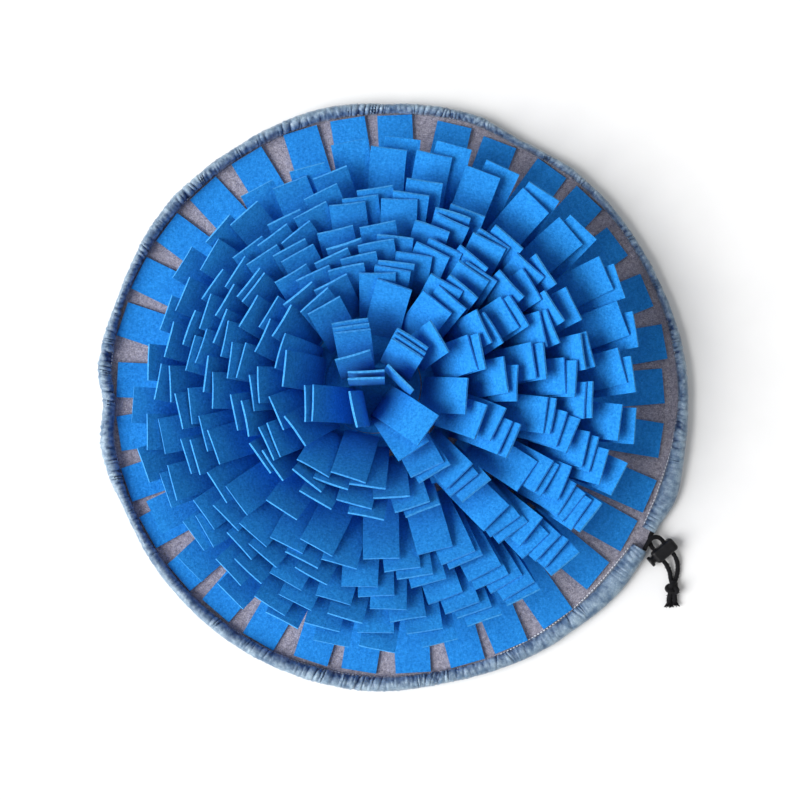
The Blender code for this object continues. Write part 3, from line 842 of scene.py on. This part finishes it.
def row_strips(number):
    """The strips of one row, before they are laid; a wobble's last key says what it varies."""
    row = ROWS[number]
    slack = math.tau * row.radius * MM / row.count - STRIP_WIDTH - 3 * STRIP_CLEAR
    for i in range(row.count):
        shift = max(0, slack) / (row.radius * MM) * PLACE_SPREAD * wobble(number, i, 1)
        place = math.radians(row.turn) + math.tau * i / row.count + shift
        root = ring_middle(row.radius) + Vector((math.cos(place), math.sin(place), 0)) * row.radius * MM
        heading = place + STRIP_SKEW * wobble(number, i, 8)
        reach = reach_at(row, math.degrees(place))
        if number == 0:
            sides = [casing_inside(math.degrees(place) + side) for side in TIP_SIDES]
            free = min(sides) - row.radius
            reach = min(reach + OUTER_REACH_SPREAD * wobble(number, i, 2), free - CASING_CLEAR / MM)
            curl = 0
            twist = 0
            length = reach * MM
            lift = math.radians(OUTER_LIFT + OUTER_LIFT_SPREAD * wobble(number, i, 4))
        else:
            reach = reach + REACH_SPREAD * wobble(number, i, 2)
            curl = STRIP_CURL * (1 + CURL_SPREAD * wobble(number, i, 5))
            twist = TWIST_SPREAD * wobble(number, i, 3)
            length = STRIP_LENGTH * (1 + LENGTH_SPREAD * wobble(number, i, 6))
            lift = lift_for(reach * MM, curl, length)
        yield Strip(root, heading, twist, lift, curl, length, STRIP_STRETCHES if curl else 1)


def middle_strips():
    """The strips of the middle, before they are laid."""
    for place in MIDDLE:
        curl = math.radians(place.curl)
        length = place.length * MM
        root = Vector((place.x, place.y, 0)) * MM
        lift = lift_for(place.reach * MM, curl, length)
        yield Strip(root, math.radians(place.heading), 0, lift, curl, length, STRIP_STRETCHES)


def strip_line(strip):
    """Point, direction across and direction up at each small step along a strip."""
    steps = strip.stretches * FINE
    point = strip.root + Vector((0, 0, STRIP_ROOT))
    for step in range(steps + 1):
        share = step / steps
        lift = strip.lift + strip.curl * (0.5 - share)
        turn = strip.heading + strip.twist * share
        flat = math.cos(lift)
        along = Vector((flat * math.cos(turn), flat * math.sin(turn), math.sin(lift)))
        across = Vector((-math.sin(turn), math.cos(turn), 0))
        yield point.copy(), across, along.cross(across)
        point = point + along * strip.length / steps


def strip_box(strip, extra=0.0):
    """The strip as a few straight stretches, as its solid has them."""
    half_width = STRIP_WIDTH / 2 + extra
    half_thickness = STRIP_THICKNESS / 2 + extra
    sections = [
        [
            point + across * half_width * side + up * half_thickness * face
            for side, face in ((-1, -1), (1, -1), (1, 1), (-1, 1))
        ]
        for point, across, up in list(strip_line(strip))[::FINE]
    ]
    return loft(sections)


def loft(sections):
    """Points and faces of a closed solid through cross-sections with equally many corners."""
    corners = len(sections[0])
    points = [corner for section in sections for corner in section]
    faces = [tuple(reversed(range(corners)))]
    for i in range(len(sections) - 1):
        for k in range(corners):
            a = corners * i + k
            b = corners * i + (k + 1) % corners
            faces.append((a, b, b + corners, a + corners))
    last = len(points) - corners
    faces.append(tuple(range(last, last + corners)))
    return points, faces


def lay(strip, trees):
    """The strip, stood up and straightened until it is clear of the strips laid before it."""
    rest = 1 - RAISE_SHARE
    for _ in range(MOST_RAISES):
        tree = BVHTree.FromPolygons(*strip_box(strip, STRIP_CLEAR))
        if not any(tree.overlap(other) for other in trees):
            break
        lift = UPRIGHT + (strip.lift - UPRIGHT) * rest
        strip = strip._replace(lift=lift, curl=strip.curl * rest, twist=strip.twist * rest)
    trees.append(BVHTree.FromPolygons(*strip_box(strip)))
    return strip


def soft_strip(strip, number):
    """Points and faces of a softly uneven strip of felt, and which of the faces are its cut edges."""
    sections = []
    line = list(strip_line(strip))
    cup = STRIP_CUP * wobble(number, 11) if strip.curl else 0
    for step, (point, across, up) in enumerate(line):
        share = step / (len(line) - 1)
        upper, lower = [], []
        for k in range(ACROSS + 1):
            side = 2 * k / ACROSS - 1
            middle = point + across * STRIP_WIDTH / 2 * side
            sag = cup * (side * side - CUP_LEVEL) * share
            place = middle * RIPPLE_WAVES + Vector((number, 0, 0))
            ripple = STRIP_RIPPLE * noise.noise(place) * share
            middle = middle + up * (sag + ripple)
            thin = SIDE_SHARE if abs(side) == 1 else 1.0
            upper.append(middle + up * STRIP_THICKNESS / 2 * thin)
            lower.append(middle - up * STRIP_THICKNESS / 2 * thin)
        sections.append(lower + upper[::-1])
    points, faces = loft(sections)
    around = 2 * (ACROSS + 1)
    edges = {0, len(faces) - 1}
    for i in range(len(sections) - 1):
        edges.add(1 + i * around + ACROSS)
        edges.add(1 + i * around + around - 1)
    return points, faces, edges


def disc(outer, inner, middle, steps=96):
    """Points and faces of a flat ring of felt, or of a disc where inner is 0."""
    middle = middle + Vector((0, 0, BAND_BOTTOM))
    profile = ((inner, 0), (outer, 0), (outer, BAND_THICKNESS), (inner, BAND_THICKNESS))
    corners = len(profile)
    walls = corners if inner else corners - 1
    points, faces = [], []
    for i in range(steps):
        turn = math.tau * i / steps
        out = Vector((math.cos(turn), math.sin(turn), 0))
        points += [middle + out * radius + Vector((0, 0, height)) for radius, height in profile]
        here = corners * i
        onwards = corners * ((i + 1) % steps)
        for k in range(walls):
            n = (k + 1) % corners
            faces.append((here + k, onwards + k, onwards + n, here + n))
    return points, faces


def felt_piece(name, node, band, strips):
    """One mesh of a backing and its strips, with the cut edges in a lighter felt that is partly their
    paler cut fibres and partly a painted highlight.
    """
    points, faces = [], []
    add(points, faces, *band)
    light = set()
    area = 0.0
    for strip in strips:
        more_points, more_faces, edges = soft_strip(strip, len(faces) * SEED_STEP)
        light |= {len(faces) + k for k in edges}
        add(points, faces, more_points, more_faces)
        area += strip.length * STRIP_WIDTH
    piece = mesh_piece(name, points, faces, 50)
    give(piece, "blue_felt", BLUE, BLUE_PALE_EDGE_AND_HIGHLIGHT)
    # the cut edges get the lighter felt: partly paler fibres, partly a painted highlight
    for face in light:
        piece.data.polygons[face].material_index = 1
    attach(piece, "mat")
    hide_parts(node)
    return piece, area


def make_felt():
    """The rings from the outside inwards, then the middle: piece, area of felt and length round."""
    trees = []
    for outer_row in range(0, len(ROWS), ROWS_IN_A_RING):
        number = outer_row // ROWS_IN_A_RING + 1
        outer, inner = ROWS[outer_row], ROWS[outer_row + ROWS_IN_A_RING - 1]
        strips = []
        for row in range(outer_row, outer_row + ROWS_IN_A_RING):
            strips += [lay(strip, trees) for strip in row_strips(row)]
        wide = math.hypot(outer.radius * MM, STRIP_WIDTH / 2) + BAND_MARGIN
        narrow = inner.radius * MM - BAND_MARGIN
        middle = (ring_middle(outer.radius) + ring_middle(inner.radius)) / 2
        band = disc(wide, narrow, middle)
        piece, area = felt_piece(f"ring_{number}_strips", f"felt_ring_{number}", band, strips)
        area += math.pi * (wide**2 - narrow**2)
        yield piece, area, 2 * math.pi * outer.radius * MM
    strips = [lay(strip, trees) for strip in middle_strips()]
    band = disc(CENTRE_RADIUS + CENTRE_SPREAD, 0, ring_middle(ROWS[-1].radius))
    piece, area = felt_piece("centre_strips", "felt_centre", band, strips)
    yield piece, area + math.pi * CENTRE_RADIUS**2, 2 * math.pi * CENTRE_RADIUS


felts = list(make_felt())

# ---------------------------------------------------------------- stitches

STITCH_LENGTH = 1.5 * MM
STITCH_PITCH = 3 * MM
STITCH_RADIUS = 0.5 * MM
STITCH_STEPS = 4
STITCH_RISE = 0.35 * MM
SEAM_HIDDEN = 9  # width of casing, in millimetres, up to which its puckers hide the seam
SEAM_SHOWS = 13  # and from which the seam lies open
SEAM_INSET = -0.3 * MM  # how far inwards of the hem it lies where it is hidden
SEAM_SHIFT = 1.4 * MM  # how much further in it lies where it is open
SEAM_DROP = 1 * MM  # and how much lower


def make_stitches():
    """The row of stitches that holds the casing's inner hem down."""
    places, faces = [], []
    angle = CASING_START + 1
    while angle < CASING_END - 1:
        _, outer, width, _, _ = blend(RIM, angle)
        shows = max(0, min(1, (width - SEAM_HIDDEN) / (SEAM_SHOWS - SEAM_HIDDEN)))
        inwards = max(width * MM, CASING_HEM) + SEAM_INSET + SEAM_SHIFT * shows
        foot = BAND_BOTTOM + SEAM_DROP * (1 - shows)
        half = math.degrees(STITCH_LENGTH / 2 / (outer * MM))
        line = []
        for step in range(STITCH_STEPS + 1):
            share = step / STITCH_STEPS
            height = foot + STITCH_RISE * math.sin(math.pi * share)
            line.append(rim_point(angle + half * (2 * share - 1), inwards, height))
        add(places, faces, *braided_tube(line, STITCH_RADIUS, around=8))
        angle += math.degrees(STITCH_PITCH / (outer * MM))
    stitches = mesh_piece("casing_stitches", places, faces)
    give(stitches, "casing_cloth", THREAD)
    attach(stitches, "mat")
    return stitches


stitches = make_stitches()

# ---------------------------------------------------------------- floor and light

FLOOR_HALF = 20  # metres from its middle to its sides
FLOOR_DROP = 0.2 * MM  # below the mat's underside
floor_look = Look("pale_floor", (0.9, 0.9, 0.9), 0.9)
shades = ((0.3, (0.89, 0.89, 0.89)), (0.7, (0.91, 0.91, 0.91)))
floor_look.colour(floor_look.ramp(floor_look.noise(30, 2), shades))
floor_sides = ((-1, -1), (1, -1), (1, 1), (-1, 1))
floor_corners = [(x * FLOOR_HALF, y * FLOOR_HALF, 0) for x, y in floor_sides]
floor = mesh_piece("floor", floor_corners, [(0, 1, 2, 3)])
floor.location.z = -FLOOR_DROP
floor.data.materials.append(floor_look.material)

SUN_AZIMUTH = math.radians(197)
SUN_HEIGHT = math.radians(38)
SUN_SPREAD = math.radians(45)  # its apparent width, which softens the shadows
SUN_STRENGTH = 4.05
SKY_STRENGTH = 0.4
sun = bpy.data.objects.new("sun", bpy.data.lights.new("sun", "SUN"))
scene.collection.objects.link(sun)
sun.data.energy = SUN_STRENGTH
sun.data.angle = SUN_SPREAD
towards = Vector(
    (
        math.cos(SUN_AZIMUTH) * math.cos(SUN_HEIGHT),
        math.sin(SUN_AZIMUTH) * math.cos(SUN_HEIGHT),
        math.sin(SUN_HEIGHT),
    )
)
sun.rotation_euler = towards.to_track_quat("Z", "Y").to_euler()
world = bpy.data.worlds.new("studio")
scene.world = world
world.use_nodes = True
sky = world.node_tree.nodes["Background"]
sky.inputs["Color"].default_value = (1, 1, 1, 1)
sky.inputs["Strength"].default_value = SKY_STRENGTH
scene.view_settings.view_transform = "Standard"
